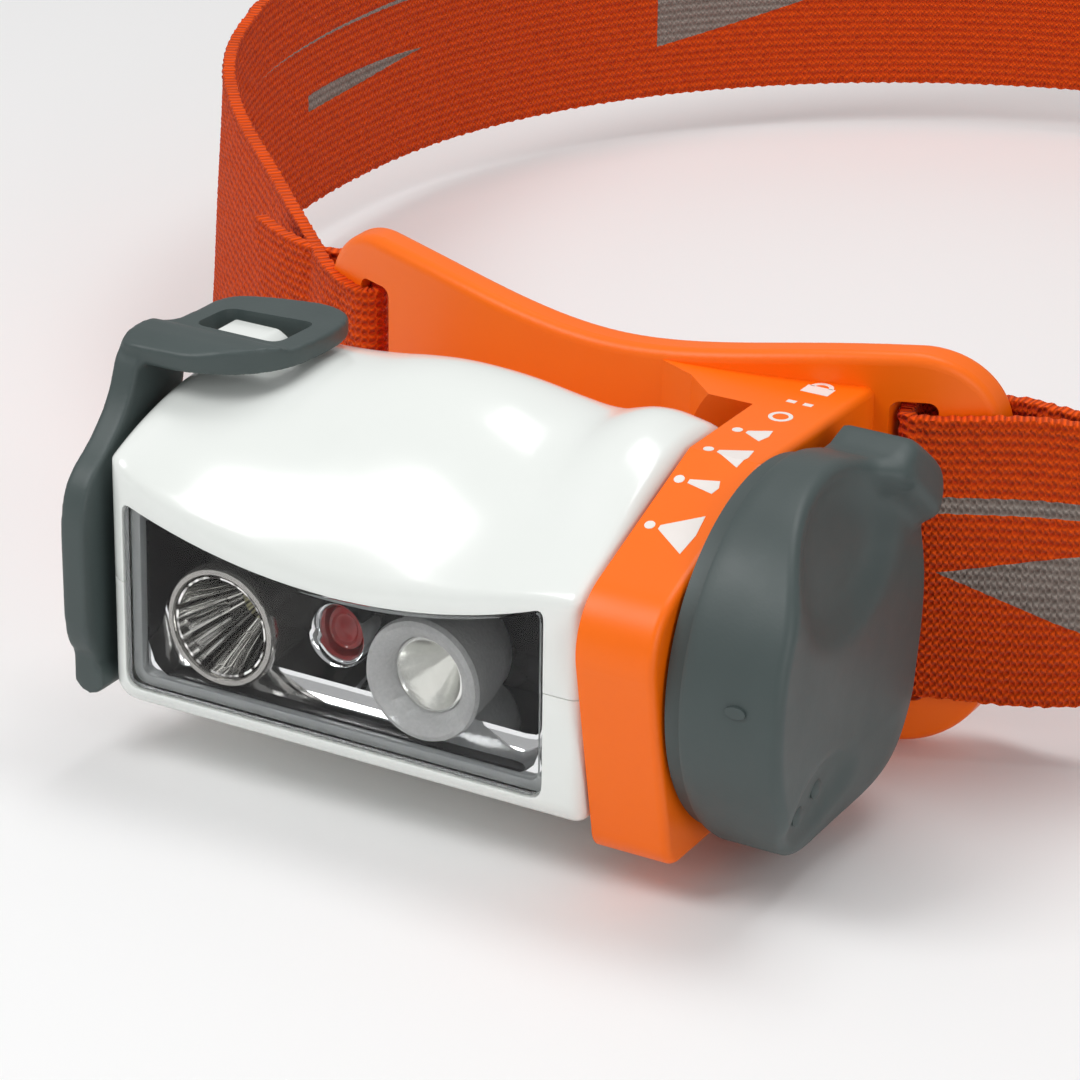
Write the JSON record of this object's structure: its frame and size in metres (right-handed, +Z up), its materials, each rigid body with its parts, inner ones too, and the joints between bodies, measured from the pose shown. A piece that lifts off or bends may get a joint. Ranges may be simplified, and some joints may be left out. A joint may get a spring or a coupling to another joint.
{
  "type": "headlamp",
  "caption": "Headlamp with a tilting white lamp housing on an orange side-arm bracket, a rotary switch dial, a draw latch and an elastic head strap.",
  "frame": {"origin": "centre of the forehead pad's rear face, where the lamp rests on the head", "axes": "+Y points back into the head, +X is the wearer's left (the dial's side), +Z is up"},
  "size_m": [0.1629, 0.2291, 0.0398],
  "materials": {
    "orange_plastic": "satin moulded plastic",
    "pad_foam": "brushed foam-backed fabric",
    "webbing": "woven elastic webbing",
    "grey_plastic": "satin",
    "white_plastic": "glossy moulded plastic",
    "black_rubber": "matte",
    "clear_lens": "clear polycarbonate",
    "black_plastic": "satin",
    "chrome": "vacuum metallised",
    "led": "phosphor dome",
    "red_led": "tinted dome",
    "frosted": "frosted polycarbonate",
    "board": "solder mask",
    "steel": "plain",
    "cell": "printed sleeve",
    "brass": "plated",
    "nylon": "satin",
    "grey_rubber": "soft-touch matte"
  },
  "bodies": {
    "bracket": {"bracket": "orange_plastic", "forehead_pad": "pad_foam", "head_strap": "webbing", "strap_tail": "webbing", "switch_board": "board", "detent_spring": "steel", "detent_ball": "steel"},
    "housing": {"lower_shell": "white_plastic", "shell_gasket": "black_rubber", "front_lens": "clear_lens", "optic_tray": "black_plastic", "mirror_floor": "chrome", "spot_reflector": "chrome", "spot_led": "led", "red_bezel": "chrome", "red_led": "red_led", "flood_diffuser": "frosted", "flood_led": "led", "led_board": "board", "board_screws": "steel", "driver_board": "board", "aaa_cell_1": "cell", "aaa_cell_2": "cell", "aaa_cell_3": "cell", "battery_spine": "black_plastic", "contact_plate_left": "brass", "contact_plate_right": "brass", "contact_springs": "steel", "tilt_washer": "nylon", "pivot_ring": "steel", "slip_contacts": "brass", "latch_pin": "steel"},
    "cover": {"upper_shell": "white_plastic"},
    "dial": {"dial_wiper": "brass", "dial_shaft": "grey_plastic", "dial_o_ring": "black_rubber", "dial_clip": "steel", "dial_flange": "grey_plastic", "dial_grip": "grey_rubber"},
    "latch": {"latch": "grey_rubber"},
    "slider": {"strap_slider": "grey_plastic"}
  },
  "joints": [
    {"name": "housing_tilt", "type": "hinge", "parent": "bracket", "child": "housing", "pos_m": [0, -0.0248, 0], "axis": [1, 0, 0], "range_deg": [0, 60]},
    {"name": "dial_turn", "type": "hinge", "parent": "bracket", "child": "dial", "pos_m": [0, -0.0248, 0], "axis": [1, 0, 0], "range_deg": [0, 105]},
    {"name": "latch_swing", "type": "hinge", "parent": "housing", "child": "latch", "pos_m": [-0.0351, -0.035, -0.0121], "axis": [0, -1, 0], "range_deg": [0, 110]},
    {"name": "cover_lift", "type": "slide", "parent": "housing", "child": "cover", "axis": [0, 0, 1], "range_m": [0, 0.004]},
    {"name": "slider_slide", "type": "slide", "parent": "bracket", "child": "slider", "axis": [0, 1, 0], "range_m": [-0.009, 0.009]}
  ],
  "couplings": [
    {"joint": "latch_swing", "follows": "cover_lift", "rad_per_m": 479.9}
  ]
}
